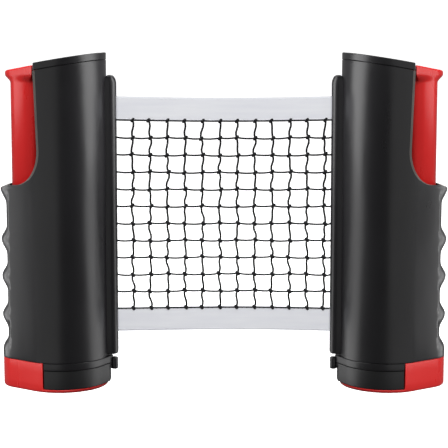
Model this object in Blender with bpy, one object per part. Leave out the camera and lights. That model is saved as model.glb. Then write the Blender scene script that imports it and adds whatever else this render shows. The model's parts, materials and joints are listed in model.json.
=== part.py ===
"""A retractable table tennis net set: two clamp posts with the net stretched between them.

Each post is a moulded housing with a spring reel for the net in its round side, and a spring clamp in its
narrow side. Pressing the red plunger down against the finger grip slides the red lower jaw away from the
foot, so that the post can take the edge of a table.

Metres, +Z up, +X from the left post to the right one, the front faces -Y. Z = 0 is under the lower jaws.
A post is built in its own frame: +X there points outwards, away from the net, from the end of the net lips.
"""

import math

import bmesh
import bpy
from mathutils import Matrix

# --- driving dimensions ---------------------------------------------------------------------------

GAP = 0.0003  # between pieces that touch

LIP_SPACING = 0.128  # between the lip ends of the two posts, as they stand
HOUSING_BOTTOM = 0.018
CAP_HIGH, CAP_LOW = 0.1993, 0.1930  # top of the cap at its net side and at its plunger side
CAP_THICKNESS = 0.0043
WALL = 0.002

# Section of the housing seen from above: a large circle drawn out to a small one.
BIG_X, BIG_R = 0.033, 0.027
SMALL_X, SMALL_R = 0.0555, 0.014

REEL_ROOM_END_X, JAW_ROOM_X = 0.0422, 0.0437  # the two faces of the wall between the housing's rooms

CUT_TOP_X, CUT_LOW_X = 0.0459, 0.0443  # edge of the housing beside the plunger
SWEEP_X, SWEEP_Z = 0.0145, 0.0200  # of the curve from that edge to the rim
RIM_Z, RIM_RISE = 0.1194, 0.0026  # top of the finger grip at its outer end, and how much it rises inwards
GROOVE_ENDS = (0.0229, 0.0436, 0.0668, 0.0890, RIM_Z)  # ridges of the finger grip
GROOVE_DEPTH = 0.0032
GROOVE_IN, GROOVE_OUT = 0.0095, 0.0078  # how far a groove curves in under a ridge, and out to the next one

LIP_BOTTOM, LIP_TOP = 0.019, 0.1865
SLOT_HALF = 0.0014  # half the width of the slot that the net runs through
LIP_OUTER = 0.0047  # outer face of a lip, from the middle of the slot

REEL_X = 0.0263  # axis of the net reel
ROLL_R = 0.0155
CORE_R = 0.006
AXLE_R = 0.002
BARREL_R = 0.0103
AXLE_BOTTOM, AXLE_TOP = 0.0192, 0.1906
SPOOL_BOTTOM, SPOOL_TOP = 0.0283, 0.1765
FLANGE_THICKNESS = 0.0015
BARREL_TOP = 0.1865
LOWER_BUSH_R, UPPER_BUSH_R = 0.0042, 0.0033
SPRING_TURNS = 4.5  # of the reel's spiral spring

FOOT_END_X = 0.0420  # where the foot ends, beside the leg of the lower jaw
PLATE_THICKNESS = 0.002
FOOT_TOP = 0.0132
RING_BOTTOM = 0.0135
SHELF_TOP = 0.022

COLUMN_IN_X, COLUMN_OUT_X, COLUMN_HALF = 0.0450, 0.0621, 0.012
COLUMN_INSET = 0.0032
RISER_ROOM_X, RISER_ROOM_HALF = 0.0603, 0.0058  # room for the clamp spring inside the riser
SPLIT_Z = 0.112  # where the plunger sits on the riser of the lower jaw
SEAT_Z = 0.104  # under the plunger's spigot, where the clamp spring pushes
HEAD_BOTTOM, HEAD_INSET = 0.1844, 0.0038
HEAD_HIGH, HEAD_LOW = 0.1920, 0.1895  # top of the plunger's head at its two ends
PIN_R, PIN_HALF, PIN_Z = 0.0012, 0.0112, (SEAT_Z + SPLIT_Z) / 2

CLAMP_SPRING_X = 0.0548
CLAMP_SPRING_R, CLAMP_WIRE_R, CLAMP_TURNS = 0.0043, 0.0006, 11

NET_BOTTOM, NET_TOP = 0.0317, 0.1738
TAPE_HEIGHT = 0.014
TAPE_THICKNESS = 0.001
TWINE = 0.0009

# (x, z) of the screws that hold the rear shell, and the sizes they share
SHELL_SCREWS = ((0.0140, 0.0252), (0.0384, 0.0252), (0.0125, 0.1810), (0.0398, 0.1810))
BOSS_R, HEAD_R, SHANK_R = 0.0028, 0.0021, 0.0011
HEAD_SEAT_Y = 0.0065
FOOT_SCREWS = (0.016, 0.0385)

ARC_STEPS = 28
TURNED_STEPS = 20

# --- colours --------------------------------------------------------------------------------------

MATERIALS = {
    "black_abs": ((0.026, 0.026, 0.029), 0.42, 0.0),
    "red_abs": ((0.60, 0.030, 0.028), 0.30, 0.0),
    "spring_steel": ((0.56, 0.57, 0.58), 0.30, 1.0),
    "zinc_steel": ((0.62, 0.62, 0.60), 0.35, 1.0),
    "pom_white": ((0.80, 0.80, 0.76), 0.45, 0.0),
    "net_tape": ((0.78, 0.79, 0.84), 0.85, 0.0),
    "net_twine": ((0.020, 0.020, 0.022), 0.80, 0.0),
}


def material(name):
    """The named plastic, metal or textile, made once."""
    found = bpy.data.materials.get(name)
    if found:
        return found
    colour, roughness, metallic = MATERIALS[name]
    made = bpy.data.materials.new(name)
    made.use_nodes = True
    shader = made.node_tree.nodes["Principled BSDF"]
    shader.inputs["Base Color"].default_value = (*colour, 1.0)
    shader.inputs["Roughness"].default_value = roughness
    shader.inputs["Metallic"].default_value = metallic
    return made


# --- outlines, seen from above --------------------------------------------------------------------


def arc(x, y, radius, start, end, steps):
    """Points on a circle, from one angle in radians to another."""
    turns = [start + (end - start) * i / steps for i in range(steps + 1)]
    return [(x + radius * math.cos(t), y + radius * math.sin(t)) for t in turns]


def egg(inset=0.0):
    """The housing's outline, moved inwards, counterclockwise from the rear of the big circle."""
    lean = math.acos((BIG_R - SMALL_R) / (SMALL_X - BIG_X))
    big = arc(BIG_X, 0, BIG_R - inset, lean, 2 * math.pi - lean, ARC_STEPS)
    small = arc(SMALL_X, 0, SMALL_R - inset, -lean, lean, ARC_STEPS // 3)
    return big + small


def nosed_egg(inset=0.0):
    """The outline of the ring and the foot: the egg with a low nose under the net lips."""
    nose_x, nose_r = 0.0073, 0.004
    lean = math.acos((BIG_R - SMALL_R) / (SMALL_X - BIG_X))
    turn = math.acos((BIG_R - nose_r) / (BIG_X - nose_x))
    rear = arc(BIG_X, 0, BIG_R - inset, lean, math.pi - turn, ARC_STEPS // 2)
    nose = arc(nose_x, 0, nose_r - inset, math.pi - turn, math.pi + turn, 4)
    front = arc(BIG_X, 0, BIG_R - inset, math.pi + turn, 2 * math.pi - lean, ARC_STEPS // 2)
    small = arc(SMALL_X, 0, SMALL_R - inset, -lean, lean, ARC_STEPS // 3)
    return rear + nose + front + small


def clipped(outline, axis, limit, keep_low):
    """The part of a convex outline on one side of a line across the given axis."""
    sign = 1 if keep_low else -1
    kept = []
    for here, after in zip(outline, outline[1:] + outline[:1]):
        depth = sign * (limit - here[axis])
        depth_after = sign * (limit - after[axis])
        if depth >= 0:
            kept.append(here)
        if depth * depth_after < 0:
            share = depth / (depth - depth_after)
            kept.append(tuple(a + (b - a) * share for a, b in zip(here, after)))
    return kept


def column_outline(inset=0.0):
    """The section of the red column: the egg's narrow end, with flat sides."""
    outline = clipped(egg(COLUMN_INSET + inset), 0, COLUMN_OUT_X - inset, True)
    outline = clipped(outline, 0, COLUMN_IN_X + inset, False)
    outline = clipped(outline, 1, COLUMN_HALF - inset, True)
    return clipped(outline, 1, inset - COLUMN_HALF, False)


def cap_top(x):
    """Height of the slanted plane that the cap's top lies in."""
    return CAP_HIGH + (CAP_LOW - CAP_HIGH) * (x - 0.008) / (CUT_TOP_X - 0.008)


def head_top(x):
    """Height of the plunger's slanted top."""
    return HEAD_HIGH + (HEAD_LOW - HEAD_HIGH) * (x - CUT_TOP_X) / (COLUMN_OUT_X - CUT_TOP_X)


# --- solids ---------------------------------------------------------------------------------------


def new_object(name, mesh, post, at=(0, 0, 0)):
    """An object for a mesh, under its post."""
    made = bpy.data.objects.new(name, mesh)
    bpy.context.scene.collection.objects.link(made)
    made.parent = post
    made.location = at
    return made


def mesh_of(name, bm):
    """A mesh from a bmesh, with its faces pointing out and its round faces smooth."""
    bmesh.ops.recalc_face_normals(bm, faces=bm.faces)
    mesh = bpy.data.meshes.new(name)
    bm.to_mesh(mesh)
    bm.free()
    mesh.shade_smooth()
    mesh.set_sharp_from_angle(angle=math.radians(35))
    return mesh


def height(level, x):
    """A level that is a number, or a function of x."""
    return level(x) if callable(level) else level


def prism_mesh(name, outline, bottom, top):
    """An upright prism. Its bottom and top are heights, or heights as functions of x."""
    bm = bmesh.new()
    low = [bm.verts.new((x, y, height(bottom, x))) for x, y in outline]
    high = [bm.verts.new((x, y, height(top, x))) for x, y in outline]
    bm.faces.new(low[::-1])
    bm.faces.new(high)
    for i in range(len(outline)):
        j = (i + 1) % len(outline)
        bm.faces.new((low[i], low[j], high[j], high[i]))
    return mesh_of(name, bm)


def prism(name, post, outline, bottom, top):
    """An upright prism as an object."""
    return new_object(name, prism_mesh(name, outline, bottom, top), post)


def side_prism(name, post, profile, half_depth):
    """A prism whose profile is drawn in x and z, and that goes half_depth to the front and to the rear."""
    bm = bmesh.new()
    front = [bm.verts.new((x, -half_depth, z)) for x, z in profile]
    rear = [bm.verts.new((x, half_depth, z)) for x, z in profile]
    bm.faces.new(front)
    bm.faces.new(rear[::-1])
    for i in range(len(profile)):
        j = (i + 1) % len(profile)
        bm.faces.new((front[i], front[j], rear[j], rear[i]))
    return new_object(name, mesh_of(name, bm), post)


def box(name, post, x, y, z):
    """A box from three (low, high) pairs."""
    corners = [(x[0], y[0]), (x[1], y[0]), (x[1], y[1]), (x[0], y[1])]
    return prism(name, post, corners, z[0], z[1])


def rod(name, post, radius, start, end, steps=12):
    """A round rod along Y or Z between two points."""
    (x0, y0, z0), (x1, y1, z1) = start, end
    length = math.dist(start, end)
    turn = Matrix.Rotation(-math.pi / 2, 4, "X") if abs(y1 - y0) > abs(z1 - z0) else Matrix()
    middle = Matrix.Translation(((x0 + x1) / 2, (y0 + y1) / 2, (z0 + z1) / 2))
    bm = bmesh.new()
    bmesh.ops.create_cone(
        bm, cap_ends=True, segments=steps, radius1=radius, radius2=radius, depth=length, matrix=middle @ turn
    )
    return new_object(name, mesh_of(name, bm), post)


def turned(name, post, profile, x, steps=TURNED_STEPS):
    """A closed profile of (radius, z) turned round the upright line at x. Its origin is on that line."""
    bm = bmesh.new()
    rings = []
    for i in range(steps):
        turn = 2 * math.pi * i / steps
        ring = [bm.verts.new((r * math.cos(turn), r * math.sin(turn), z)) for r, z in profile]
        rings.append(ring)
    for ring, after in zip(rings, rings[1:] + rings[:1]):
        for k in range(len(profile)):
            m = (k + 1) % len(profile)
            bm.faces.new((ring[k], after[k], after[m], ring[m]))
    return new_object(name, mesh_of(name, bm), post, (x, 0, 0))


def swept(name, post, path, section, x):
    """A section of (across, up) carried along an upright line's coil or spiral, with flat ends."""
    bm = bmesh.new()
    rings = []
    for angle, radius, z in path:
        ring = []
        for across, up in section:
            reach = radius + across
            ring.append(bm.verts.new((reach * math.cos(angle), reach * math.sin(angle), z + up)))
        rings.append(ring)
    for ring, after in zip(rings, rings[1:]):
        for k in range(len(section)):
            m = (k + 1) % len(section)
            bm.faces.new((ring[k], after[k], after[m], ring[m]))
    bm.faces.new(rings[0])
    bm.faces.new(rings[-1][::-1])
    return new_object(name, mesh_of(name, bm), post, (x, 0, 0))


def combine(target, other, operation):
    """Cuts the other object from the target, or joins it on, and hides it."""
    step = target.modifiers.new(f"{operation.lower()}_{other.name}", "BOOLEAN")
    step.operation = operation
    step.object = other
    step.solver = "EXACT"
    other.hide_render = True
    other.display_type = "WIRE"


def cut(target, *cutters):
    """Cuts each cutter from the target."""
    for cutter in cutters:
        combine(target, cutter, "DIFFERENCE")


def join(target, *others):
    """Joins each other solid onto the target."""
    for other in others:
        combine(target, other, "UNION")


def soften(target, width, segments=2):
    """Rounds the target's sharp edges."""
    step = target.modifiers.new("edges", "BEVEL")
    step.width = width
    step.segments = segments
    step.limit_method = "ANGLE"
    step.angle_limit = math.radians(40)


def finish(target, material_name):
    """Gives the target its material."""
    target.data.materials.clear()
    target.data.materials.append(material(material_name))
    return target


# --- housing --------------------------------------------------------------------------------------


def half_egg(rear, inset):
    """The front or the rear half of the housing's outline."""
    parting = GAP / 2
    if rear:
        return clipped(egg(inset), 1, parting, False)
    return clipped(egg(inset), 1, -parting, True)


def cut_out_profile():
    """In x and z, what is taken off the housing above the grip to lay the plunger bare."""
    points = [(CUT_TOP_X + 0.0004, 0.215)]
    for i in range(9):
        turn = math.pi / 2 * i / 8
        x = CUT_LOW_X + SWEEP_X * (1 - math.cos(turn))
        z = RIM_Z + RIM_RISE + SWEEP_Z * (1 - math.sin(turn))
        points.append((x, z))
    points.append((0.0645, RIM_Z + 0.9 * RIM_RISE))
    points.append((0.0672, RIM_Z + 0.6 * RIM_RISE))
    points.append((SMALL_X + SMALL_R + 0.0005, RIM_Z))
    points.append((0.09, RIM_Z))
    points.append((0.09, 0.215))
    return points


def groove_depth(above, below):
    """Depth of a finger groove at a distance above its lower ridge and below its upper one."""
    share = min(1.0, above / GROOVE_OUT, below / GROOVE_IN)
    return GROOVE_DEPTH * (1 - math.cos(math.pi * share)) / 2


def grip_profile():
    """In x and z, what is taken off the outer end of the housing to leave finger grooves between ridges."""
    crest = SMALL_X + SMALL_R
    points = []
    for low, high in zip(GROOVE_ENDS, GROOVE_ENDS[1:]):
        levels = [low + GROOVE_OUT * share for share in (0.0, 0.35, 0.65, 1.0)]
        levels += [high - GROOVE_IN * share for share in (1.0, 0.7, 0.5, 0.3)]
        for z in levels:
            points.append((crest - groove_depth(z - low, high - z), z))
    points.append((crest, RIM_Z))
    return [(0.09, 0.01), (crest + 0.001, 0.01)] + points + [(crest + 0.001, 0.13), (0.09, 0.13)]


def lip_outline(rear):
    """The section of a net lip, with its nose rounded."""
    radius = (LIP_OUTER - SLOT_HALF) / 2
    middle = (LIP_OUTER + SLOT_HALF) / 2
    nose = arc(radius, -middle, radius, -math.pi / 2, -3 * math.pi / 2, 6)
    outline = [(0.0072, -LIP_OUTER)] + nose + [(0.0072, -SLOT_HALF)]
    if rear:
        outline = [(x, -y) for x, y in outline]
    return outline


def shell(side, post, rear):
    """The front or the rear half of the housing, with its screw bosses, net lip and share of the grip."""
    name = f"{side}_rear_shell" if rear else f"{side}_front_shell"
    body = prism(name, post, half_egg(rear, 0.0), HOUSING_BOTTOM, lambda x: cap_top(x) - CAP_THICKNESS - GAP)
    sign = 1 if rear else -1
    join(body, prism(f"{name}_lip", post, lip_outline(rear), LIP_BOTTOM, LIP_TOP))

    inner = egg(WALL)
    reel_room = prism(f"{name}_reel_room", post, clipped(inner, 0, REEL_ROOM_END_X, True), 0.01, 0.22)
    for number, (x, z) in enumerate(SHELL_SCREWS, 1):
        boss_ends = [(x, sign * y, z) for y in (0.04, GAP / 2)]
        cut(reel_room, rod(f"{name}_boss_{number}", post, BOSS_R, *boss_ends))
    jaw_outline = clipped(clipped(inner, 0, JAW_ROOM_X, False), 0, COLUMN_OUT_X + GAP, True)
    jaw_room = prism(f"{name}_jaw_room", post, jaw_outline, 0.01, 0.22)
    link = box(f"{name}_link", post, (0.0418, 0.0442), (-0.016, 0.016), (0.01, 0.030))
    cut(body, reel_room, jaw_room, link)

    cut(body, side_prism(f"{name}_cut_out", post, cut_out_profile(), 0.05))
    cut(body, side_prism(f"{name}_grooves", post, grip_profile(), 0.05))
    slot = box(f"{name}_slot", post, (-0.01, 0.0095), (-SLOT_HALF, SLOT_HALF), (0.0300, 0.1755))
    cut(body, slot)
    for number, (x, z) in enumerate(SHELL_SCREWS, 1):
        pilot_end = 0.02 if rear else -0.009
        pilot = rod(f"{name}_pilot_{number}", post, SHANK_R + GAP, (x, sign * -0.001, z), (x, pilot_end, z))
        cut(body, pilot)
        if rear:
            seat = rod(f"{name}_seat_{number}", post, HEAD_R + GAP, (x, HEAD_SEAT_Y, z), (x, 0.05, z))
            cut(body, seat)
    return finish(body, "black_abs")


def top_cap(side, post):
    """The slanted lid, with the boss that carries the reel's upper bush."""
    name = f"{side}_top_cap"
    outline = clipped(egg(0.0), 0, CUT_TOP_X, True)
    lid = prism(name, post, outline, lambda x: cap_top(x) - CAP_THICKNESS, cap_top)
    soften(lid, 0.0009)
    plug_outline = clipped(egg(WALL + GAP), 0, REEL_ROOM_END_X - GAP, True)
    bottom = CAP_THICKNESS + 0.0015
    heights = (lambda x: cap_top(x) - bottom, lambda x: cap_top(x) - 0.003)
    plug = prism(f"{name}_plug", post, plug_outline, *heights)
    boss = rod(f"{name}_boss", post, 0.0055, (REEL_X, 0, 0.1873), (REEL_X, 0, 0.194))
    bore = rod(f"{name}_bore", post, UPPER_BUSH_R + GAP, (REEL_X, 0, 0.180), (REEL_X, 0, 0.1915))
    join(lid, plug, boss)
    cut(lid, bore)
    return finish(lid, "black_abs")


def bottom_plate(side, post):
    """The plate that closes the housing, with its bush socket, spring shelf and peg, and net-side lug."""
    name = f"{side}_bottom_plate"
    ring = prism(name, post, clipped(nosed_egg(0.0), 0, FOOT_END_X, True), RING_BOTTOM, HOUSING_BOTTOM - GAP)
    soften(ring, 0.0006)
    plug_outline = clipped(egg(WALL + GAP), 0, REEL_ROOM_END_X - GAP, True)
    plug = prism(f"{name}_plug", post, plug_outline, 0.0160, 0.0210)
    shelf = box(f"{name}_shelf", post, (0.039, 0.0600), (-0.0050, 0.0050), (HOUSING_BOTTOM, SHELF_TOP))
    peg = rod(f"{name}_peg", post, 0.0031, (CLAMP_SPRING_X, 0, 0.020), (CLAMP_SPRING_X, 0, 0.027))
    lug = rod(f"{name}_lug", post, 0.0022, (0.0024, 0, 0.0092), (0.0024, 0, 0.0166), steps=12)
    arm = box(f"{name}_arm", post, (0.0030, 0.0075), (-0.0016, 0.0016), (0.0139, 0.0163))
    socket = rod(f"{name}_socket", post, LOWER_BUSH_R + GAP, (REEL_X, 0, 0.0175), (REEL_X, 0, 0.030))
    join(ring, plug, shelf, peg, lug, arm)
    cut(ring, socket)
    for number, x in enumerate(FOOT_SCREWS, 1):
        cut(ring, rod(f"{name}_hole_{number}", post, SHANK_R + GAP, (x, 0, 0.005), (x, 0, 0.0195)))
    return finish(ring, "black_abs")


def jaw_foot(side, post):
    """The fixed upper jaw under the housing, which presses on the table from above."""
    name = f"{side}_jaw_foot"
    outline = clipped(nosed_egg(0.0004), 0, FOOT_END_X - 0.0002, True)
    outline = clipped(outline, 0, 0.0048, False)
    foot = prism(name, post, outline, PLATE_THICKNESS + GAP, FOOT_TOP)
    soften(foot, 0.0008)
    for number, x in enumerate(FOOT_SCREWS, 1):
        cut(foot, rod(f"{name}_hole_{number}", post, SHANK_R + GAP, (x, 0, 0.0), (x, 0, 0.02)))
        cut(foot, rod(f"{name}_seat_{number}", post, HEAD_R + GAP, (x, 0, 0.0), (x, 0, 0.0062)))
    return finish(foot, "black_abs")


# --- clamp ----------------------------------------------------------------------------------------


def pin_hole(name, post):
    """A cutter for the hole that the plunger's pin goes through."""
    ends = [(CLAMP_SPRING_X, y, PIN_Z) for y in (-0.05, 0.05)]
    return rod(f"{name}_pin_hole", post, PIN_R + GAP, *ends)


def lower_jaw(side, post):
    """The red jaw: the plate under the foot, the leg beside it, and the riser up inside the grip."""
    name = f"{side}_lower_jaw"
    plate = prism(name, post, egg(0.0001), 0.0, PLATE_THICKNESS)
    leg_outline = clipped(egg(0.0004), 0, FOOT_END_X + 0.0005, False)
    leg = prism(f"{name}_leg", post, leg_outline, 0.0006, HOUSING_BOTTOM - GAP)
    soften(leg, 0.0012)
    riser = prism(f"{name}_riser", post, column_outline(), 0.010, SPLIT_Z)
    depth = (-RISER_ROOM_HALF, RISER_ROOM_HALF)
    room = box(f"{name}_room", post, (0.040, RISER_ROOM_X), depth, (0.0120, 0.2))
    cut(riser, room)
    join(plate, leg, riser)
    cut(plate, pin_hole(name, post))
    return finish(plate, "red_abs")


def plunger(side, post):
    """The red thumb plunger: a flared head on a column, with a spigot that is pinned into the riser."""
    name = f"{side}_plunger"
    column = prism(name, post, column_outline(), SPLIT_Z + GAP, 0.186)
    head_outline = clipped(egg(HEAD_INSET), 0, CUT_TOP_X + 0.0010, False)
    head = prism(f"{name}_head", post, head_outline, HEAD_BOTTOM, head_top)
    soften(head, 0.0010)
    spigot = box(f"{name}_spigot", post, (0.0492, 0.0600), (-0.0055, 0.0055), (SEAT_Z, 0.120))
    join(column, head, spigot)
    cut(column, pin_hole(name, post))
    return finish(column, "red_abs")


def plunger_pin(side, post):
    """The steel pin that holds the plunger in the riser."""
    ends = [(CLAMP_SPRING_X, y, PIN_Z) for y in (-PIN_HALF, PIN_HALF)]
    return finish(rod(f"{side}_plunger_pin", post, PIN_R, *ends), "zinc_steel")


def clamp_spring(side, post):
    """The coil spring between the shelf and the spigot, which keeps the jaw shut."""
    low = SHELF_TOP + GAP + CLAMP_WIRE_R
    high = SEAT_Z - GAP - CLAMP_WIRE_R
    steps_per_turn, sides = 10, 4
    count = CLAMP_TURNS * steps_per_turn
    path = []
    for i in range(count + 1):
        path.append((2 * math.pi * i / steps_per_turn, CLAMP_SPRING_R, low + (high - low) * i / count))
    section = arc(0, 0, CLAMP_WIRE_R, 0, 2 * math.pi, sides)[:-1]
    return finish(swept(f"{side}_clamp_spring", post, path, section, CLAMP_SPRING_X), "spring_steel")


# --- reel -----------------------------------------------------------------------------------------


def spool(side, post):
    """The spool that the net winds on, with a flange below and above it."""
    bore = AXLE_R + GAP
    lower, upper = SPOOL_BOTTOM + FLANGE_THICKNESS, SPOOL_TOP - FLANGE_THICKNESS
    profile = [(bore, SPOOL_BOTTOM), (ROLL_R, SPOOL_BOTTOM), (ROLL_R, lower), (CORE_R, lower)]
    profile += [(CORE_R, upper), (ROLL_R, upper), (ROLL_R, SPOOL_TOP), (bore, SPOOL_TOP)]
    return finish(turned(f"{side}_spool", post, profile, REEL_X), "pom_white")


def net_roll(side, post):
    """The net that is wound on the spool."""
    inner, outer = CORE_R + GAP, ROLL_R - 0.0005
    profile = [(inner, NET_BOTTOM), (outer, NET_BOTTOM), (outer, NET_TOP), (inner, NET_TOP)]
    return finish(turned(f"{side}_net_roll", post, profile, REEL_X), "net_tape")


def reel_axle(side, post):
    """The steel axle of the reel."""
    axle = rod(f"{side}_reel_axle", post, AXLE_R, (REEL_X, 0, AXLE_BOTTOM), (REEL_X, 0, AXLE_TOP))
    return finish(axle, "zinc_steel")


def bush(side, post, where, bottom, top, radius):
    """A plain bearing between the axle and its seat."""
    bore = AXLE_R + GAP
    profile = [(bore, bottom), (radius, bottom), (radius, top), (bore, top)]
    return finish(turned(f"{side}_{where}_bush", post, profile, REEL_X, steps=16), "pom_white")


def spring_barrel(side, post):
    """The open cup on top of the spool that holds the spiral spring."""
    bottom, wall = SPOOL_TOP + GAP, 0.0010
    bore, inside = AXLE_R + GAP, BARREL_R - wall
    profile = [(bore, bottom), (BARREL_R, bottom), (BARREL_R, BARREL_TOP)]
    profile += [(inside, BARREL_TOP), (inside, bottom + wall), (bore, bottom + wall)]
    return finish(turned(f"{side}_spring_barrel", post, profile, REEL_X), "black_abs")


def reel_spring(side, post):
    """The spiral spring that winds the net in, from the axle out to the wall of the barrel."""
    bottom, strip_height, strip = 0.1784, 0.0070, 0.0003
    inner, outer = AXLE_R + 0.0008, BARREL_R - 0.0018
    steps_per_turn = 16
    count = int(SPRING_TURNS * steps_per_turn)
    path = []
    for i in range(count + 1):
        path.append((2 * math.pi * i / steps_per_turn, inner + (outer - inner) * i / count, bottom))
    section = [(-strip / 2, 0), (strip / 2, 0), (strip / 2, strip_height), (-strip / 2, strip_height)]
    return finish(swept(f"{side}_reel_spring", post, path, section, REEL_X), "spring_steel")


# --- fasteners ------------------------------------------------------------------------------------


def screw_profile(head_height, length):
    """Half section of a pan-head screw, as (radius, distance from the head's seat)."""
    shank = [(SHANK_R, -length), (SHANK_R, 0)]
    return shank + [(HEAD_R, 0), (HEAD_R, head_height), (HEAD_R * 0.7, head_height * 1.35)]


def screw(name, post, at, direction, length):
    """A pan-head screw with its seat at a point and its head towards the given direction."""
    profile = screw_profile(0.0012, length)
    steps = 10
    bm = bmesh.new()
    rings = []
    for radius, z in profile:
        around = arc(0, 0, radius, 0, 2 * math.pi, steps)[:-1]
        rings.append([bm.verts.new((x, y, z)) for x, y in around])
    for ring, after in zip(rings, rings[1:]):
        for k in range(steps):
            m = (k + 1) % steps
            bm.faces.new((ring[k], ring[m], after[m], after[k]))
    bm.faces.new(rings[0][::-1])
    bm.faces.new(rings[-1])
    made = new_object(name, mesh_of(name, bm), post, at)
    made.rotation_euler = direction
    return finish(made, "zinc_steel")


def screws(side, post):
    """Four screws from the rear into the bosses of the front shell, and two from below through the foot."""
    from_rear = (-math.pi / 2, 0, 0)
    for number, (x, z) in enumerate(SHELL_SCREWS, 1):
        screw(f"{side}_shell_screw_{number}", post, (x, HEAD_SEAT_Y + GAP, z), from_rear, 0.0145)
    from_below = (math.pi, 0, 0)
    for number, x in enumerate(FOOT_SCREWS, 1):
        screw(f"{side}_foot_screw_{number}", post, (x, 0, 0.0062 - GAP), from_below, 0.0125)


# --- net ------------------------------------------------------------------------------------------


def net_tape(name, bottom, net_half):
    """One of the two bands that edge the net."""
    half = TAPE_THICKNESS / 2
    tape = box(name, None, (-net_half, net_half), (-half, half), (bottom, bottom + TAPE_HEIGHT))
    return finish(tape, "net_tape")


def net_mesh(net_half):
    """The knotted net between the tapes, as a thin plain panel of the twines' thickness."""
    levels = (NET_BOTTOM + TAPE_HEIGHT + GAP, NET_TOP - TAPE_HEIGHT - GAP)
    panel = box("net_mesh", None, (-net_half, net_half), (-TWINE / 2, TWINE / 2), levels)
    return finish(panel, "net_twine")


# --- assembly -------------------------------------------------------------------------------------


def clear_scene():
    """Removes whatever the scene holds."""
    for existing in list(bpy.data.objects):
        bpy.data.objects.remove(existing, do_unlink=True)


def post_frame(side):
    """The empty that carries a post: at its lip end, with +X outwards."""
    empty = bpy.data.objects.new(f"{side}_post_frame", None)
    bpy.context.scene.collection.objects.link(empty)
    outwards = 1 if side == "right" else -1
    empty.location = (outwards * LIP_SPACING / 2, 0, 0)
    empty.scale = (outwards, 1, 1)
    return empty


def build_post(side):
    """One clamp post with its reel and its clamp."""
    post = post_frame(side)
    shell(side, post, rear=False)
    shell(side, post, rear=True)
    top_cap(side, post)
    bottom_plate(side, post)
    jaw_foot(side, post)
    lower_jaw(side, post)
    plunger(side, post)
    plunger_pin(side, post)
    clamp_spring(side, post)
    spool(side, post)
    net_roll(side, post)
    reel_axle(side, post)
    bush(side, post, "lower", 0.0178, 0.0260, LOWER_BUSH_R)
    bush(side, post, "upper", 0.1872, 0.1912, UPPER_BUSH_R)
    spring_barrel(side, post)
    reel_spring(side, post)
    screws(side, post)


def build_net():
    """The part of the net between the two rolls."""
    net_half = LIP_SPACING / 2 + REEL_X - ROLL_R - GAP
    net_tape("net_bottom_tape", NET_BOTTOM, net_half)
    net_tape("net_top_tape", NET_TOP - TAPE_HEIGHT, net_half)
    net_mesh(net_half)


clear_scene()
for post_side in ("left", "right"):
    build_post(post_side)
build_net()
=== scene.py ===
"""The looks of the retractable table tennis net set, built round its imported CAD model.

A post's own frame is used throughout: u runs outwards from the end of the net lips, y to the rear, z up.
Everything is made for the right post, and mirrored for the left one.
"""

import json
import math

import bmesh
import bpy
import numpy as np
from mathutils import Matrix, Quaternion, Vector

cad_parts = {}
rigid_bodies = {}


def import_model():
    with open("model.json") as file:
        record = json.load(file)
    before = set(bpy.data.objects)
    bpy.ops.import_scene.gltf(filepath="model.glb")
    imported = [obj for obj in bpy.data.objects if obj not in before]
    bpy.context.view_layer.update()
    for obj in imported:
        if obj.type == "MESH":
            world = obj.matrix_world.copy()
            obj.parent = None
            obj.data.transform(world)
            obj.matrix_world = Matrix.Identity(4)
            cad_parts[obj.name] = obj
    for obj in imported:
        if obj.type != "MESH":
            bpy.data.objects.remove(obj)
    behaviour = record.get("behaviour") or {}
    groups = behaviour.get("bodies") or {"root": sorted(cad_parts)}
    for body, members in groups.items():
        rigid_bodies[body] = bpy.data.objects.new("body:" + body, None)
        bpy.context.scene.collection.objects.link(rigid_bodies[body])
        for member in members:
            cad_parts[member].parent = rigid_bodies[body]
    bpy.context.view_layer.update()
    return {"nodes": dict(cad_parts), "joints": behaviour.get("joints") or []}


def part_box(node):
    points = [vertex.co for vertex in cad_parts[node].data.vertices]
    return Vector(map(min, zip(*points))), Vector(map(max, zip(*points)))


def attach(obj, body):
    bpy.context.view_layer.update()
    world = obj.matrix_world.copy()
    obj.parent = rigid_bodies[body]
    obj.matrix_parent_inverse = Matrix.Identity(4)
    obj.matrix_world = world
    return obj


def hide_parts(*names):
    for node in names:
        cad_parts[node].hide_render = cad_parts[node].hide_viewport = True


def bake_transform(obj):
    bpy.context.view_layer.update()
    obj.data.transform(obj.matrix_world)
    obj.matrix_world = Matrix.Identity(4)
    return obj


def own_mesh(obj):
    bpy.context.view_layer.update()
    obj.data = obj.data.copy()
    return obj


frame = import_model()

# --- sizes that come from the frame ---

RANGES = {joint["name"]: joint.get("range_m") for joint in frame["joints"]}
LONGEST_PULL = RANGES["net_pull"][1]
CLAMP_TRAVEL = RANGES["right_clamp_press"][1]
SHELL_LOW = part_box("right_front_shell")[0]
LIP_X = SHELL_LOW.x  # where the net lips end, from the middle of the net
HOUSING_BOTTOM = SHELL_LOW.z
TAPE_LOW, TAPE_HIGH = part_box("net_bottom_tape")
TAPE_LIFT = 0.0006  # extra height of the tapes over the CAD's, and lift of the lower one
NET_BOTTOM = TAPE_LOW.z + TAPE_LIFT
NET_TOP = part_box("net_top_tape")[1].z
TAPE_HEIGHT = TAPE_HIGH.z - TAPE_LOW.z + TAPE_LIFT
SPLIT_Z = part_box("right_plunger")[0].z + 0.0083  # where the plunger's column stands on the riser
POSTS = {"left": -1, "right": 1}  # each post and the sign of its side of X

# --- the post's section and heights, as in the CAD model ---

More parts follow.
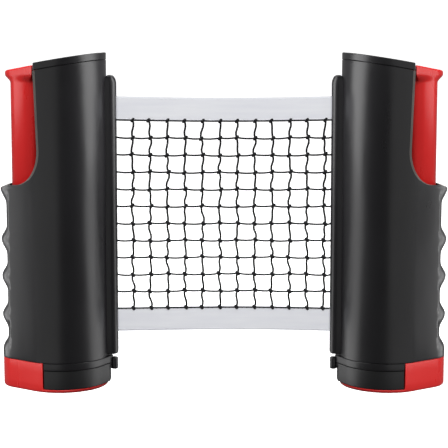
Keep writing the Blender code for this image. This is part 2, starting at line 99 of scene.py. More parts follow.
BIG_U, BIG_R = 0.033, 0.027
SMALL_U, SMALL_R = 0.0555, 0.014
LEAN = math.acos((BIG_R - SMALL_R) / (SMALL_U - BIG_U))  # turn at which the flat flanks leave both rounds
BIG_ARC = BIG_R * (math.pi - LEAN)
FLANK = math.sqrt((SMALL_U - BIG_U) ** 2 - (BIG_R - SMALL_R) ** 2)
HALF_LENGTH = BIG_ARC + FLANK + SMALL_R * LEAN
NOSE_U, NOSE_R = 0.0073, 0.004  # the ring's nose under the lips
WALL = 0.0015
CAP_THICKNESS, CAP_GAP = 0.0043, 0.0003
CAP_HIGH, CAP_LOW, CAP_START_U = 0.1993, 0.1930, 0.008
CUT_TOP_U, CUT_LOW_U = 0.0459, 0.0443
SWEEP_U, SWEEP_Z = 0.0145, 0.020
RIM_Z, RIM_RISE = 0.1194, 0.0026
RIM_INNER_Z = RIM_Z + RIM_RISE
RIDGES = (0.0229, 0.0436, 0.0668, 0.0890, RIM_Z)
GROOVE_DEPTH, GROOVE_IN, GROOVE_OUT = 0.0032, 0.0095, 0.0078
REEL_U, PARTITION = 0.0263, (0.0422, 0.0437)
FOOT_END_U, LEG_U = 0.0420, 0.0425
COLUMN_IN_U, COLUMN_OUT_U, COLUMN_HALF, COLUMN_INSET = 0.0450, 0.0621, 0.012, 0.0032
HEAD_HIGH, HEAD_LOW, HEAD_INSET = 0.1920, 0.1895, 0.0038
SPRING_U = 0.0548
LIP_BOTTOM, LIP_TOP = 0.019, 0.1865
SLOT_HALF, LIP_OUTER = 0.0014, 0.0047
SLOT_LOW, SLOT_HIGH = 0.030, 0.1755
SHELL_SCREWS = ((0.0140, 0.0252), (0.0384, 0.0252), (0.0125, 0.1810), (0.0398, 0.1810))
FOOT_SCREWS_U = (0.016, 0.0385)
SEAT_Y, SEAT_R = 0.0068, 0.0024  # where the heads of the screws sit, and their wells

TWINE_R = 0.00066
MESH_PITCH = 0.01043
FIRST_UPRIGHT_X = -0.0546
ROWS = COLUMNS = 12
SHOWN_HALF = LIP_X + 0.0002  # the net between the posts as they stand, to just inside the lips
ROLL_INSIDE = LIP_X + 0.0106  # the far end of the net that waits beside a reel
JOINT_SHARE = 0.485  # share of the pull that the left end of the net between the posts follows


def cap_plane(u):
    """Height of the slanted plane of the cap's top."""
    return CAP_HIGH + (CAP_LOW - CAP_HIGH) * (u - CAP_START_U) / (CUT_TOP_U - CAP_START_U)


def head_plane(u):
    """Height of the slanted plane of the plunger's top."""
    return HEAD_HIGH + (HEAD_LOW - HEAD_HIGH) * (u - CUT_TOP_U) / (COLUMN_OUT_U - CUT_TOP_U)


# --- materials ---


class Surface:
    """A Principled material under construction, with short ways to add nodes."""

    def __init__(self, name, colour, roughness, metallic=0.0):
        self.material = bpy.data.materials.new(name)
        self.material.use_nodes = True
        self.tree = self.material.node_tree
        self.shader = self.tree.nodes["Principled BSDF"]
        self.fix("Base Color", (*colour, 1))
        self.fix("Roughness", roughness)
        self.fix("Metallic", metallic)
        self.place = self.tree.nodes.new("ShaderNodeTexCoord").outputs["Object"]

    def node(self, kind, inputs=(), **settings):
        """A new node with its settings and inputs: a number or colour is set, and a socket is linked."""
        made = self.tree.nodes.new(kind)
        for key, value in settings.items():
            setattr(made, key, value)
        for key, value in dict(inputs).items():
            if isinstance(value, bpy.types.NodeSocket):
                self.tree.links.new(value, made.inputs[key])
            else:
                made.inputs[key].default_value = value
        return made

    def noise(self, scale, detail=3.0, stretch=None):
        """Noise of a scale per metre, optionally with its space stretched along the axes."""
        vector = self.place
        if stretch:
            vector = self.node("ShaderNodeMapping", {"Vector": vector, "Scale": stretch}).outputs[0]
        inputs = {"Vector": vector, "Scale": scale, "Detail": detail}
        return self.node("ShaderNodeTexNoise", inputs).outputs["Fac"]

    def waves(self, place, scale, direction, distortion=0.0):
        """Bands across a direction."""
        inputs = {"Vector": place, "Scale": scale, "Distortion": distortion}
        return self.node("ShaderNodeTexWave", inputs, bands_direction=direction).outputs["Fac"]

    def spread(self, value, low, high, start=0.3, end=0.7):
        """A value between start and end mapped to the range from low to high."""
        inputs = {"Value": value, "From Min": start, "From Max": end, "To Min": low, "To Max": high}
        return self.node("ShaderNodeMapRange", inputs).outputs["Result"]

    def blend(self, factor, first, second):
        """A colour between two colours."""
        mix = self.node("ShaderNodeMix", data_type="RGBA")
        self.tree.links.new(factor, mix.inputs[0])
        for index, colour in ((6, first), (7, second)):
            if isinstance(colour, bpy.types.NodeSocket):
                self.tree.links.new(colour, mix.inputs[index])
            else:
                mix.inputs[index].default_value = (*colour, 1)
        return mix.outputs[2]

    def bump(self, height, distance, strength, normal=None):
        """A bump of a height in metres, chained on another normal if one is given."""
        inputs = {"Height": height, "Distance": distance, "Strength": strength}
        if normal:
            inputs["Normal"] = normal
        return self.node("ShaderNodeBump", inputs).outputs["Normal"]

    def drive(self, socket, value):
        """Links a value to one of the shader's sockets."""
        self.tree.links.new(value, self.shader.inputs[socket])

    def fix(self, socket, value):
        """Sets one of the shader's sockets."""
        self.shader.inputs[socket].default_value = value


def moulded_plastic(name, colour, lighter, roughness, grain):
    """Moulded plastic: a fine spark-eroded grain, faint handling marks and a colour that drifts a little."""
    s = Surface(name, colour, roughness)
    cloud = s.noise(22, 3)
    s.drive("Base Color", s.blend(s.spread(cloud, 0, 1), colour, lighter))
    rubbed = s.noise(60, 5, (1, 1, 0.25))
    s.drive("Roughness", s.spread(rubbed, roughness - 0.05, roughness + 0.07))
    pits = s.noise(2600, 2)
    flow = s.noise(140, 2, (1, 1, 0.2))
    s.drive("Normal", s.bump(pits, grain, 0.55, s.bump(flow, 0.00004, 0.35)))
    return s.material


def metal(name, colour, roughness, along):
    """Drawn or plated steel: fine lines along the wire or round the head, and small dull spots."""
    s = Surface(name, colour, roughness, 1.0)
    lines = s.noise(900, 2, along)
    spots = s.noise(240, 4)
    s.drive("Roughness", s.spread(lines, roughness - 0.08, roughness + 0.12))
    s.drive("Base Color", s.blend(s.spread(spots, 0, 1), colour, tuple(c * 0.78 for c in colour)))
    s.drive("Normal", s.bump(lines, 0.00001, 0.4))
    return s.material


def woven_tape():
    """The white band: a close plain weave with a slight sheen, and threads of uneven lightness."""
    s = Surface("woven_tape", (0.80, 0.81, 0.86), 0.86)
    warp, weft = (s.waves(s.place, scale, axis, 0.6) for axis, scale in (("X", 560), ("Z", 480)))
    weave = s.node("ShaderNodeMath", {0: warp, 1: weft}, operation="MULTIPLY").outputs[0]
    slubs = s.noise(160, 3, (0.15, 1, 1.6))
    tone = s.blend(s.spread(slubs, 0, 1), (0.77, 0.78, 0.835), (0.84, 0.85, 0.885))
    s.drive("Base Color", s.blend(s.spread(weave, 0, 0.30, 0.0, 0.6), tone, (0.90, 0.905, 0.93)))
    s.drive("Roughness", s.spread(slubs, 0.80, 0.92))
    s.drive("Normal", s.bump(weave, 0.00006, 0.6, s.bump(slubs, 0.00012, 0.5)))
    s.fix("Sheen Weight", 0.15)
    s.fix("Sheen Roughness", 0.5)
    return s.material


def twisted_twine():
    """Black twisted nylon: strands that wind round the twine, and a slight fuzz."""
    s = Surface("twisted_twine", (0.006, 0.006, 0.007), 0.68)
    wound = s.node("ShaderNodeTexCoord").outputs["UV"]
    lay = s.waves(wound, 0.5, "DIAGONAL")
    fuzz = s.noise(1800, 3)
    s.drive("Base Color", s.blend(lay, (0.004, 0.004, 0.005), (0.015, 0.015, 0.018)))
    s.drive("Roughness", s.spread(fuzz, 0.62, 0.80))
    s.drive("Normal", s.bump(lay, 0.00010, 0.7, s.bump(fuzz, 0.00003, 0.5)))
    s.fix("Specular IOR Level", 0.25)
    s.fix("Sheen Weight", 0.05)
    return s.material


def wound_net():
    """The net on the reel: turns of band over turns of mesh, seen from the end and the side."""
    s = Surface("wound_net", (0.70, 0.71, 0.76), 0.85)
    turns = s.noise(900, 2, (1, 1, 0.1))
    s.drive("Base Color", s.blend(s.spread(turns, 0, 1), (0.35, 0.35, 0.38), (0.78, 0.79, 0.83)))
    s.drive("Normal", s.bump(turns, 0.0001, 0.6))
    return s.material


BLACK = moulded_plastic("black_plastic", (0.0095, 0.0090, 0.0105), (0.014, 0.0135, 0.0155), 0.32, 1.2e-5)
# a lighter tan for the housing's edge beside the plunger: a painted highlight where the bevel would catch
# light
EDGE_HIGHLIGHT_PAINT = moulded_plastic("painted_edge_highlight_plastic", (0.13, 0.112, 0.102), (0.20, 0.175, 0.160), 0.45, 2.0e-5)
FOOT_BLACK = moulded_plastic("foot_black_plastic", (0.011, 0.011, 0.012), (0.017, 0.017, 0.018), 0.42, 1.6e-5)
RED = moulded_plastic("red_plastic", (0.73, 0.018, 0.018), (0.78, 0.024, 0.022), 0.30, 6e-6)
POM = moulded_plastic("white_bearing_plastic", (0.74, 0.74, 0.70), (0.80, 0.80, 0.76), 0.45, 8e-6)
SPRING_STEEL = metal("spring_steel", (0.50, 0.51, 0.53), 0.28, (1, 1, 0.2))
ZINC_STEEL = metal("zinc_plated_steel", (0.62, 0.61, 0.57), 0.34, (1, 0.2, 1))
TAPE = woven_tape()
TWINE = twisted_twine()
WOUND = wound_net()

# --- mesh tools ---


def object_of(name, bm, material):
    """An object from a bmesh with its faces pointing out, in its material."""
    bmesh.ops.recalc_face_normals(bm, faces=bm.faces)
    mesh = bpy.data.meshes.new(name)
    bm.to_mesh(mesh)
    bm.free()
    made = bpy.data.objects.new(name, mesh)
    bpy.context.scene.collection.objects.link(made)
    mesh.materials.append(material)
    return made


def settle(made, sharp=38):
    """Applies the object's modifiers and shades it smooth except at real edges."""
    graph = bpy.context.evaluated_depsgraph_get()
    graph.update()
    mesh = bpy.data.meshes.new_from_object(made.evaluated_get(graph))
    made.modifiers.clear()
    old = made.data
    made.data = mesh
    bpy.data.meshes.remove(old)
    mesh.name = made.name
    mesh.shade_smooth()
    mesh.set_sharp_from_angle(angle=math.radians(sharp))
    return made


def bevelled(made, width, segments=3, angle=40):
    """Rounds the object's edges and applies what is on it."""
    step = made.modifiers.new("edges", "BEVEL")
    step.width = width
    step.segments = segments
    step.limit_method = "ANGLE"
    step.angle_limit = math.radians(angle)
    return settle(made)


def cut(made, cutter):
    """Cuts another object out of an object, and removes it."""
    step = made.modifiers.new("cut", "BOOLEAN")
    step.operation = "DIFFERENCE"
    step.object = cutter
    settle(made)
    bpy.data.objects.remove(cutter, do_unlink=True)


def arc(u, radius, start, end, steps):
    """Points between two angles on a circle round a point of the post's middle line."""
    turns = [start + (end - start) * i / steps for i in range(steps + 1)]
    return [(u + radius * math.cos(t), radius * math.sin(t)) for t in turns]


def circle(u, radius, steps):
    """Points round a whole circle."""
    return arc(u, radius, 0, 2 * math.pi, steps)[:-1]


def joined(arcs):
    """A closed outline through arcs, with points along the straight runs between them."""
    spacing = 0.0015
    outline = []
    for arc_points, after in zip(arcs, arcs[1:] + arcs[:1]):
        start, end = arc_points[-1], after[0]
        steps = max(1, round(math.dist(start, end) / spacing))
        between = [tuple(a + (b - a) * i / steps for a, b in zip(start, end)) for i in range(1, steps)]
        outline += arc_points + between
    return outline


def egg(inset=0.0):
    """The housing's outline, moved inwards."""
    big = arc(BIG_U, BIG_R - inset, LEAN, 2 * math.pi - LEAN, 96)
    small = arc(SMALL_U, SMALL_R - inset, -LEAN, LEAN, 32)
    return joined([big, small])


def nosed_egg(inset=0.0):
    """The outline of the ring and the foot, with its low nose under the lips."""
    turn = math.acos((BIG_R - NOSE_R) / (BIG_U - NOSE_U))
    rear = arc(BIG_U, BIG_R - inset, LEAN, math.pi - turn, 48)
    nose = arc(NOSE_U, NOSE_R - inset, math.pi - turn, math.pi + turn, 10)
    front = arc(BIG_U, BIG_R - inset, math.pi + turn, 2 * math.pi - LEAN, 48)
    small = arc(SMALL_U, SMALL_R - inset, -LEAN, LEAN, 24)
    return joined([rear, nose, front, small])


def clipped(outline, axis, limit, keep):
    """The part of a convex outline below or above a limit on an axis (0 for u, 1 for y)."""
    sign = {"below": 1, "above": -1}[keep]
    kept = []
    for here, after in zip(outline, outline[1:] + outline[:1]):
        depth, depth_after = sign * (limit - here[axis]), sign * (limit - after[axis])
        if depth >= 0:
            kept.append(here)
        if depth * depth_after < 0:
            share = depth / (depth - depth_after)
            kept.append(tuple(a + (b - a) * share for a, b in zip(here, after)))
    return kept


def ring_faces(bm, ring, after):
    """Closes the strip between two rings of vertices."""
    for k in range(len(ring)):
        m = (k + 1) % len(ring)
        bm.faces.new((ring[k], ring[m], after[m], after[k]))


def loft(name, rings, material, closed=False):
    """A solid through rings of points: a closed loop of them, or one with both ends closed."""
    bm = bmesh.new()
    made = [[bm.verts.new(p) for p in ring] for ring in rings]
    for ring, after in zip(made, made[1:]):
        ring_faces(bm, ring, after)
    if closed:
        ring_faces(bm, made[-1], made[0])
    else:
        bm.faces.new(made[0][::-1])
        bm.faces.new(made[-1])
    return object_of(name, bm, material)


def turned_ring(name, u, radii, heights):
    """A black ring round an upright line, between two radii and two heights."""
    (inner, outer), (low, high) = radii, heights
    profile = [(inner, low), (outer, low), (outer, high), (inner, high)]
    turns = [2 * math.pi * i / 48 for i in range(48)]
    rings = [[(u + r * math.cos(t), r * math.sin(t), z) for r, z in profile] for t in turns]
    return bevelled(loft(name, rings, BLACK, closed=True), 0.0002, 2)


def prism(name, outline, bottom, top, material=BLACK):
    """An upright prism between two heights, which may be functions of u."""
    low_of = bottom if callable(bottom) else lambda u: bottom
    high_of = top if callable(top) else lambda u: top
    bm = bmesh.new()
    low = [bm.verts.new((u, y, low_of(u))) for u, y in outline]
    high = [bm.verts.new((u, y, high_of(u))) for u, y in outline]
    bm.faces.new(low[::-1])
    bm.faces.new(high)
    ring_faces(bm, low, high)
    return object_of(name, bm, material)


def block(name, u, y, z, material=BLACK):
    """A box from three (low, high) pairs."""
    outline = [(u[0], y[0]), (u[1], y[0]), (u[1], y[1]), (u[0], y[1])]
    return prism(name, outline, z[0], z[1], material)


def tube_along_y(name, u, z, outer, inner, near, far):
    """A black tube along Y with rounded mouths, or a plain rod where inner is 0."""
    steps = 40
    bm = bmesh.new()
    if inner:
        lip = min(0.0002, (outer - inner) / 3)
        profile = [(outer, near), (outer, far - lip), (outer - lip, far)]
        profile += [(inner + lip, far), (inner, far - lip), (inner, near)]
    else:
        profile = [(0.0, near), (outer, near), (outer, far), (0.0, far)]
    rings = []
    for i in range(steps):
        t = 2 * math.pi * i / steps
        rings.append([bm.verts.new((u + r * math.cos(t), y, z + r * math.sin(t))) for r, y in profile])
    closed = len(profile) if inner else len(profile) - 1
    for ring, after in zip(rings, rings[1:] + rings[:1]):
        for k in range(closed):
            m = (k + 1) % len(profile)
            bm.faces.new((ring[k], ring[m], after[m], after[k]))
    bmesh.ops.remove_doubles(bm, verts=bm.verts, dist=1e-7)
    return object_of(name, bm, BLACK)


def mirror(piece):
    """Mirrors a piece to the other side of the net's middle."""
    piece.data.transform(Matrix.Scale(-1, 4, (1, 0, 0)))
    piece.data.flip_normals()


def on_both_posts(made, part, body="post", replaced=()):
    """Puts a piece made in the post's frame on the right post, and its mirror image on the left one."""
    made.data.transform(Matrix.Translation((LIP_X, 0, 0)))
    twin = made.copy()
    twin.data = made.data.copy()
    bpy.context.scene.collection.objects.link(twin)
    mirror(twin)
    for piece, side in ((made, "right"), (twin, "left")):
        piece.name = f"{side}_{part}"
        piece.data.name = piece.name
        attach(piece, f"{side}_{body}")
        if replaced:
            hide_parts(*[f"{side}_{node}" for node in replaced])


# --- housing ---


def outline_at(distance, inset=0.0):
    """The point at a distance along the front half of the outline from the net side, moved inwards."""
    if distance <= BIG_ARC:
        turn = math.pi + distance / BIG_R
        centre, radius = BIG_U, BIG_R
    elif distance <= BIG_ARC + FLANK:
        turn = 2 * math.pi - LEAN
        share = (distance - BIG_ARC) / FLANK
        centre, radius = BIG_U + (SMALL_U - BIG_U) * share, BIG_R + (SMALL_R - BIG_R) * share
    else:
        turn = 2 * math.pi - LEAN + (distance - BIG_ARC - FLANK) / SMALL_R
        centre, radius = SMALL_U, SMALL_R
    return centre + (radius - inset) * math.cos(turn), (radius - inset) * math.sin(turn)


def distance_at_u(u):
    """Distance along the outline's outer half at which it reaches a given u."""
    low, high = BIG_ARC / 2, HALF_LENGTH
    for _ in range(40):
        middle = (low + high) / 2
        if outline_at(middle)[0] < u:
            low = middle
        else:
            high = middle
    return (low + high) / 2


def cut_out_u(z):
    """Where the housing's edge beside the plunger lies at a height above the rim."""
    if z <= RIM_INNER_Z:
        rise = (z - RIM_Z) / RIM_RISE
        edges = (SMALL_U + SMALL_R, 0.0672, 0.0645, CUT_LOW_U + SWEEP_U)
        return float(np.interp(rise, (0, 0.6, 0.9, 1), edges))
    if z <= RIM_INNER_Z + SWEEP_Z:
        rise = 1 - (z - RIM_INNER_Z) / SWEEP_Z
        return CUT_LOW_U + SWEEP_U * (1 - math.sqrt(max(0.0, 1 - rise * rise)))
    top = cap_plane(CUT_TOP_U) - CAP_THICKNESS
    start = RIM_INNER_Z + SWEEP_Z
    return CUT_LOW_U + (CUT_TOP_U - CUT_LOW_U) * (z - start) / (top - start)


def smooth(t):
    """Smooth step from 0 to 1, of a number or an array."""
    t = np.clip(t, 0.0, 1.0)
    return t * t * (3 - 2 * t)


def groove(z):
    """Depth of the finger grooves at a height: in under a ridge, and out again to the next."""
    for low, high in zip(RIDGES, RIDGES[1:]):
        if low <= z <= high:
            share = min(1.0, (z - low) / GROOVE_OUT, (high - z) / GROOVE_IN)
            return GROOVE_DEPTH * (1 - math.cos(math.pi * share)) / 2
    return 0.0


def soft_groove(z):
    """The grooves with their corners eased, by a weighted mean."""
    reach = 0.0006
    weights = (1, 2, 3, 2, 1)
    spots = [z + reach * (i - 2) / 2 for i in range(5)]
    return sum(w * groove(min(max(s, RIDGES[0]), RIM_Z)) for w, s in zip(weights, spots)) / sum(weights)


def housing_rows():
    """The housing's rows, as (height, share of the way from the curve's top to the cap)."""
    low = HOUSING_BOTTOM
    grip = [low + (RIM_Z - low) * i / 84 for i in range(85)]
    rim = [RIM_Z + RIM_RISE * share for share in (0.3, 0.6, 0.75, 0.9, 0.96, 1.0)]
    curve = [RIM_INNER_Z + SWEEP_Z * (1 - math.cos(math.pi / 2 * i / 20)) for i in range(1, 21)]
    return [(z, 0.0) for z in grip + rim + curve] + [(RIM_INNER_Z + SWEEP_Z, i / 10) for i in range(1, 11)]


def housing_half(name, rear):
    """One half of the housing: a skin given its wall, soft edges and a painted highlight, a lighter tan, on
    the edge beside the plunger.
    """
    across = 110
    step_at, step_width = BIG_ARC + FLANK - 0.0002, 0.0014  # where the finger grooves start along the outline
    seam = 0.0001  # half the gap between the two halves
    cap_seat_z = 0.192  # height of the cap's underside, for the width of the upper rows
    bm = bmesh.new()
    grid = []
    for z, share in housing_rows():
        nominal = z + (cap_seat_z - z) * share
        start = SLOT_HALF if SLOT_LOW < nominal < SLOT_HIGH else seam
        edge = min(distance_at_u(cut_out_u(nominal)), HALF_LENGTH - seam)
        depth = soft_groove(z) if share == 0 and z < RIM_Z else 0.0
        row = []
        for i in range(across + 1):
            distance = start + (edge - start) * i / across
            amount = depth * smooth((distance - step_at) / step_width)
            u, y = outline_at(distance, amount)
            height = z + (cap_plane(u) - CAP_THICKNESS - CAP_GAP - z) * share
            row.append(bm.verts.new((u, -y if rear else y, height)))
        grid.append(row)
    for low, high in zip(grid, grid[1:]):
        for i in range(across):
            bm.faces.new((low[i], low[i + 1], high[i + 1], high[i]))
    made = object_of(name, bm, BLACK)
    faces = made.data.polygons
    if sum((f.normal.x * (f.center.x - BIG_U) + f.normal.y * f.center.y) * f.area for f in faces) < 0:
        made.data.flip_normals()
    wall = made.modifiers.new("wall", "SOLIDIFY")
    wall.thickness = WALL
    wall.offset = -1
    wall.use_even_offset = True
    bevelled(made, 0.00042, 4, 50)
    # the outward-facing bevel faces along the edge beside the plunger get the lighter tan: a painted
    # highlight, not wear
    made.data.materials.append(EDGE_HIGHLIGHT_PAINT)
    highlight_below, highlight_above, highlight_width, lean = 0.0004, 0.0009, 0.0011, 0.25
    for face in made.data.polygons:
        u, _, z = face.center
        in_height = RIM_Z - highlight_below < z < cap_plane(u) - CAP_THICKNESS - highlight_above
        faces_out = face.normal.x > lean or (z < RIM_INNER_Z + SWEEP_Z and face.normal.z > lean)
        if in_height and abs(u - cut_out_u(z)) < highlight_width and faces_out:
            face.material_index = 1
    return made


def housings():
    """Front and rear shells, the rear one with its screw wells."""
    on_both_posts(housing_half("front", False), "front_housing", replaced=["front_shell"])
    rear = housing_half("rear", True)
    well_wall, well_fit, well_below = 0.0007, 0.00002, 0.0011
    for number, (u, z) in enumerate(SHELL_SCREWS, 1):
        cut(rear, tube_along_y("well", u, z, SEAT_R, 0, 0.003, 0.04))
        surface_y = math.sqrt(BIG_R**2 - (u - BIG_U) ** 2) if u < BIG_U + BIG_R * math.cos(LEAN) else 0.024
        inner, outer = SEAT_R - well_fit, SEAT_R + well_wall
        well = tube_along_y("well", u, z, outer, inner, SEAT_Y - 0.002, surface_y - well_below)
        on_both_posts(settle(well), f"screw_well_{number}")
    on_both_posts(rear, "rear_housing", replaced=["rear_shell"])


def lips():
    """The upright lips that the net runs out between, with round noses and domed tops."""
    back, nose, thickness = 0.0074, 0.0040, LIP_OUTER - SLOT_HALF
    middle, dome = 0.0034, 0.0056
    turns = [math.pi / 2 * i / 12 for i in range(13)]
    section = [(back, thickness)]  # (u, depth from the slot)
    section += [(nose - nose * math.sin(turn), math.cos(turn) * thickness) for turn in turns]
    section.append((back, 0.0))
    levels = [(LIP_BOTTOM, 0.82), (LIP_BOTTOM + 0.0003, 0.94), (LIP_BOTTOM + 0.0009, 1.0)]  # (z, scale)
    levels += [(LIP_BOTTOM + (LIP_TOP - dome - LIP_BOTTOM) * i / 12, 1.0) for i in range(1, 12)]
    levels += [(LIP_TOP - dome + dome * math.sin(turn), max(0.04, math.cos(turn))) for turn in turns]
    for name, sign in (("front_lip", -1), ("rear_lip", 1)):
        rings = []
        for z, scale in levels:
            depths = [SLOT_HALF + 0.0001 + depth * scale**0.6 for _, depth in section]
            rings.append([(middle + (u - middle) * scale, sign * d, z) for (u, _), d in zip(section, depths)])
        on_both_posts(settle(loft(name, rings, BLACK), 50), name)


def inner_walls():
    """The wall between the reel's room and the plunger's, a half in each shell."""
    top = cap_plane(PARTITION[1]) - CAP_THICKNESS - 0.0004
    for name, y_range in (("front_inner_wall", (-0.0212, -0.0002)), ("rear_inner_wall", (0.0002, 0.0212))):
        on_both_posts(bevelled(block(name, PARTITION, y_range, (0.0302, top)), 0.0002, 2), name)


def caps():
    """The slanted lid, the seat that locates it in the housing, and the boss of the upper bush."""

    def below_cap(depth):
        return lambda u: cap_plane(u) - depth

    outline = clipped(egg(), 0, CUT_TOP_U, "below")
    lid = prism("cap", outline, below_cap(CAP_THICKNESS), cap_plane)
    on_both_posts(bevelled(lid, 0.0009, 4), "cap", replaced=["top_cap"])
    outline = clipped(egg(0.0018), 0, PARTITION[0] - 0.0003, "below")
    seat = prism("seat", outline, below_cap(CAP_THICKNESS + 0.0012), below_cap(0.003))
    on_both_posts(settle(seat), "cap_seat")
    on_both_posts(turned_ring("boss", REEL_U, (0.0036, 0.0055), (0.1874, 0.1935)), "cap_boss")


def bottoms():
    """The ring under the housing with its lug, the foot under it, and the seat of the clamp's spring."""
    ring = prism("ring", clipped(nosed_egg(), 0, FOOT_END_U, "below"), 0.0135, HOUSING_BOTTOM - 0.0003)
    on_both_posts(bevelled(ring, 0.0005, 3), "base_ring", replaced=["bottom_plate"])
    outline = clipped(clipped(nosed_egg(0.0003), 0, FOOT_END_U - 0.0002, "below"), 0, 0.0048, "above")
    foot = bevelled(prism("foot", outline, 0.0023, 0.0132, FOOT_BLACK), 0.0008, 4)
    for u in FOOT_SCREWS_U:
        cut(foot, prism("hole", circle(u, SEAT_R, 40), -0.01, 0.0062))
    on_both_posts(foot, "foot", replaced=["jaw_foot"])
    shelf = block("shelf", (0.0400, 0.0600), (-0.005, 0.005), (0.0180, 0.0220))
    on_both_posts(bevelled(shelf, 0.0004, 2), "spring_shelf")
    on_both_posts(turned_ring("peg", SPRING_U, (0.0001, 0.0031), (0.0205, 0.0268)), "spring_peg")
    lug = prism("lug", circle(0.0024, 0.0022, 32), 0.0092, 0.0166)
    on_both_posts(bevelled(lug, 0.0009, 4), "net_side_lug")
    arm = block("arm", (0.0030, 0.0078), (-0.0017, 0.0017), (0.0138, 0.0164))
    on_both_posts(bevelled(arm, 0.0004, 3), "lug_arm")


# --- clamp ---


def radial(outline, centre, steps):
    """A convex outline as points at equal turns round a centre."""
    points = []
    for i in range(steps):
        t = 2 * math.pi * (i + 0.5) / steps
        direction = (math.cos(t), math.sin(t))
        best = 0.0
        for here, after in zip(outline, outline[1:] + outline[:1]):
            ax, ay = here[0] - centre[0], here[1] - centre[1]
            bx, by = after[0] - here[0], after[1] - here[1]
            across = direction[0] * by - direction[1] * bx
            if abs(across) < 1e-15:  # the edge runs along the direction
                continue
            reach = (ax * by - ay * bx) / across
            share = (ax * direction[1] - ay * direction[0]) / across
            if reach > 0 and -1e-6 <= share <= 1 + 1e-6:
                best = max(best, reach)
        points.append((centre[0] + best * direction[0], centre[1] + best * direction[1]))
    return points


def rounded(outline, radius):
    """A convex outline with its corners rounded, by smoothing points close together."""
    points = np.array(outline)
    closed = np.vstack([points, points[:1]])
    lengths = np.concatenate([[0], np.cumsum(np.linalg.norm(np.diff(closed, axis=0), axis=1))])
    count = 360
    spots = np.linspace(0, lengths[-1], count, endpoint=False)
    even = np.stack([np.interp(spots, lengths, closed[:, k]) for k in (0, 1)], 1)
    reach = max(1, int(radius / (lengths[-1] / count)))
    kernel = np.ones(2 * reach + 1) / (2 * reach + 1)
    wrapped = np.vstack([even[-2 * reach :], even, even[: 2 * reach]])
    smoothed = np.stack([np.convolve(wrapped[:, k], kernel, "same") for k in (0, 1)], 1)
    return [tuple(p) for p in smoothed[2 * reach : -2 * reach]]


def column_outline():
    """The column's section: the narrow end of the egg, with flat sides and eased corners."""
    outline = clipped(egg(COLUMN_INSET), 0, COLUMN_OUT_U, "below")
    outline = clipped(outline, 0, COLUMN_IN_U, "above")
    outline = clipped(outline, 1, COLUMN_HALF, "below")
    outline = clipped(outline, 1, -COLUMN_HALF, "above")
    lean, reach = math.radians(47), 0.0090  # the corners stay this near the round, clear of the grooves
    eased = []
    for u, y in outline:
        across = (math.cos(lean), math.copysign(math.sin(lean), y))
        over = max(0.0, (u - SMALL_U) * across[0] + y * across[1] - reach)
        eased.append((u - over * across[0], y - over * across[1]))
    return eased


def plungers():
    """The thumb plunger: a column that flares into a rounded, slanted head."""
    centre_u, sides, rows = 0.0545, 160, 8
    flare_low, flare_high = 0.1816, 0.1866
    foot_edge, head_edge = 0.0004, 0.0012  # edges at the column's foot and round the head
    centre = (centre_u, 0.0)
    column = rounded(column_outline(), 0.0045)
    stretch = (COLUMN_OUT_U - centre_u) / (max(u for u, _ in column) - centre_u)  # puts its nose back
    column = [(centre_u + (u - centre_u) * (stretch if u > centre_u else 1), y) for u, y in column]
    column = radial(column, centre, sides)
    head = radial(rounded(clipped(egg(HEAD_INSET), 0, CUT_TOP_U + 0.0011, "above"), 0.0010), centre, sides)

    def between(share, pull_in=0.0):
        """The outline between column and head, pulled in towards the centre."""
        ring = []
        for a, b in zip(column, head):
            u, y = (a[0] + (b[0] - a[0]) * share, a[1] + (b[1] - a[1]) * share)
            reach = math.dist((u, y), centre)
            keep = (reach - pull_in) / reach
            ring.append((centre_u + (u - centre_u) * keep, y * keep))
        return ring

    rings = [[(u, y, SPLIT_Z + foot_edge) for u, y in between(0, foot_edge)]]
    rings.append([(u, y, SPLIT_Z + 2 * foot_edge) for u, y in between(0)])
    for i in range(rows + 1):
        z = flare_low + (flare_high - flare_low) * i / rows
        rings.append([(u, y, z) for u, y in between(smooth(i / rows))])
    for i in range(rows + 1):
        t = math.pi / 2 * i / rows
        pull_in, drop = head_edge * (1 - math.cos(t)), head_edge * (1 - math.sin(t))
        rings.append([(u, y, head_plane(u) - drop) for u, y in between(1, pull_in)])
    on_both_posts(settle(loft("plunger", rings, RED), 50), "thumb_plunger", "clamp", ["plunger"])
    spigot = block("spigot", (0.0492, 0.0600), (-0.0054, 0.0054), (0.1040, SPLIT_Z + 0.001), RED)
    on_both_posts(bevelled(spigot, 0.0003, 2), "plunger_spigot", "clamp")


def jaws():
    """The red lower jaw: one outline for plate and leg, cut back over the plate, and the riser."""
    levels = [(0.0, 0.0018), (0.0002, 0.0011), (0.0006, 0.0006), (0.0011, 0.0003)]  # (z, inset)
    levels += [(z, 0.0001) for z in (0.0017, 0.006, 0.012, HOUSING_BOTTOM - 0.0003)]
    jaw = loft("jaw", [[(u, y, z) for u, y in egg(inset)] for z, inset in levels], RED)
    cut(jaw, block("space", (-0.02, LEG_U), (-0.05, 0.05), (0.0020, 0.05), RED))
    on_both_posts(bevelled(jaw, 0.0006, 4), "lower_jaw_body", "clamp", ["lower_jaw"])
    riser = prism("riser", rounded(column_outline(), 0.0012), 0.0165, SPLIT_Z - 0.0001, RED)
    cut(riser, block("room", (0.0400, 0.0603), (-0.0058, 0.0058), (0.0150, 0.2), RED))
    on_both_posts(settle(riser), "lower_jaw_riser", "clamp")


